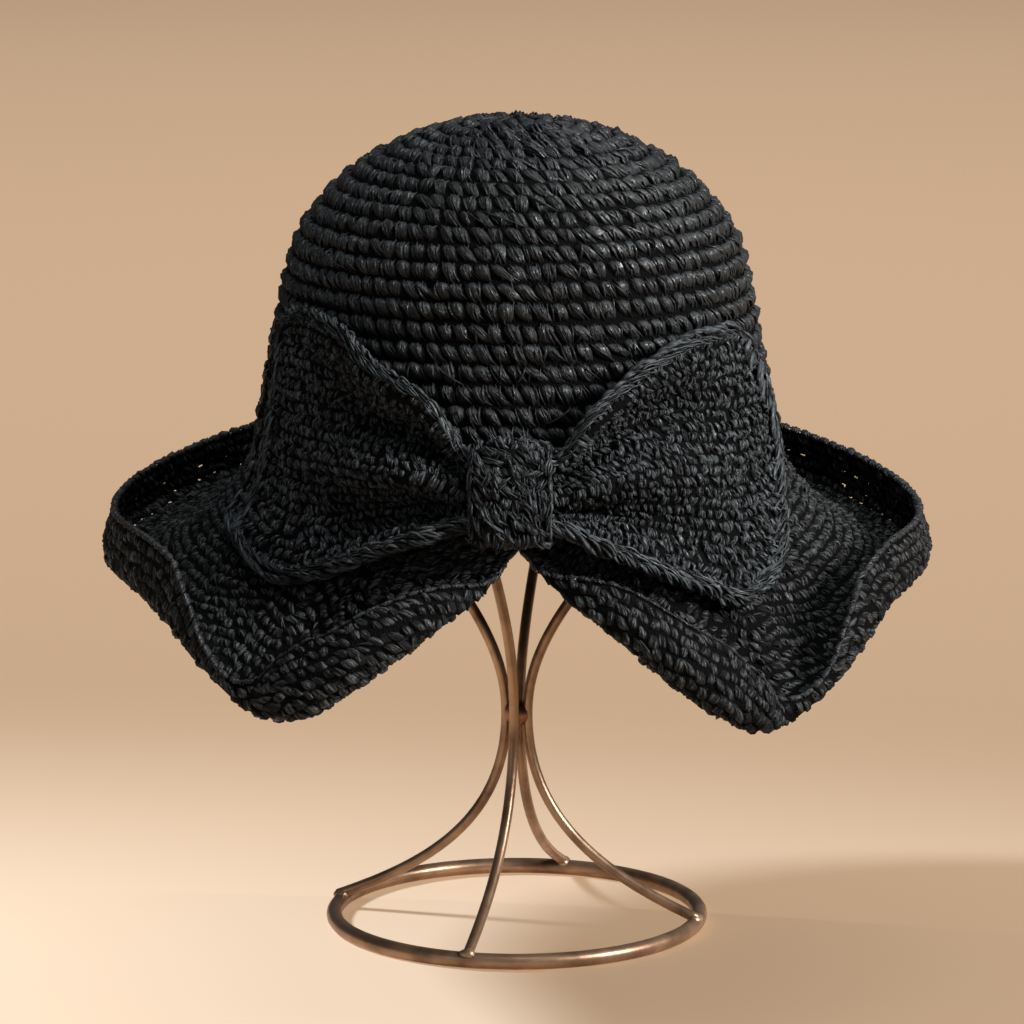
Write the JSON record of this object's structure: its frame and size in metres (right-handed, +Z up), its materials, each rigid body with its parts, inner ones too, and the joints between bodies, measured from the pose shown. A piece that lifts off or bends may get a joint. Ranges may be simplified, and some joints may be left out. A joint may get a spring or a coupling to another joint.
{
  "type": "crocheted raffia hat with a turned-up brim and a bow, on a wire hat stand",
  "caption": "Black crocheted raffia hat with a rounded crown, a turned-up brim split at the back and a bow, held up by a bronze wire stand on a round base.",
  "frame": {"origin": "middle of the whole object's box at floor level, which is on the crown's axis to within 1 mm; the base ring lies on z = 0", "axes": "+Z up along the crown's axis; the back of the hat with the bow and the split faces -Y; +X to the right of a viewer who faces the bow"},
  "size_m": [0.3028, 0.2737, 0.2998],
  "materials": {
    "raffia": "matt black raffia with a soft sheen, crocheted in rows",
    "raffia_bow": "matt black raffia in a finer crochet",
    "bronze_wire": "aged bronze, satin, soldered"
  },
  "bodies": {
    "root": {"crown": "raffia", "brim": "raffia", "bow": "raffia_bow", "bow_band": "raffia_bow", "stand": "bronze_wire"}
  },
  "joints": []
}
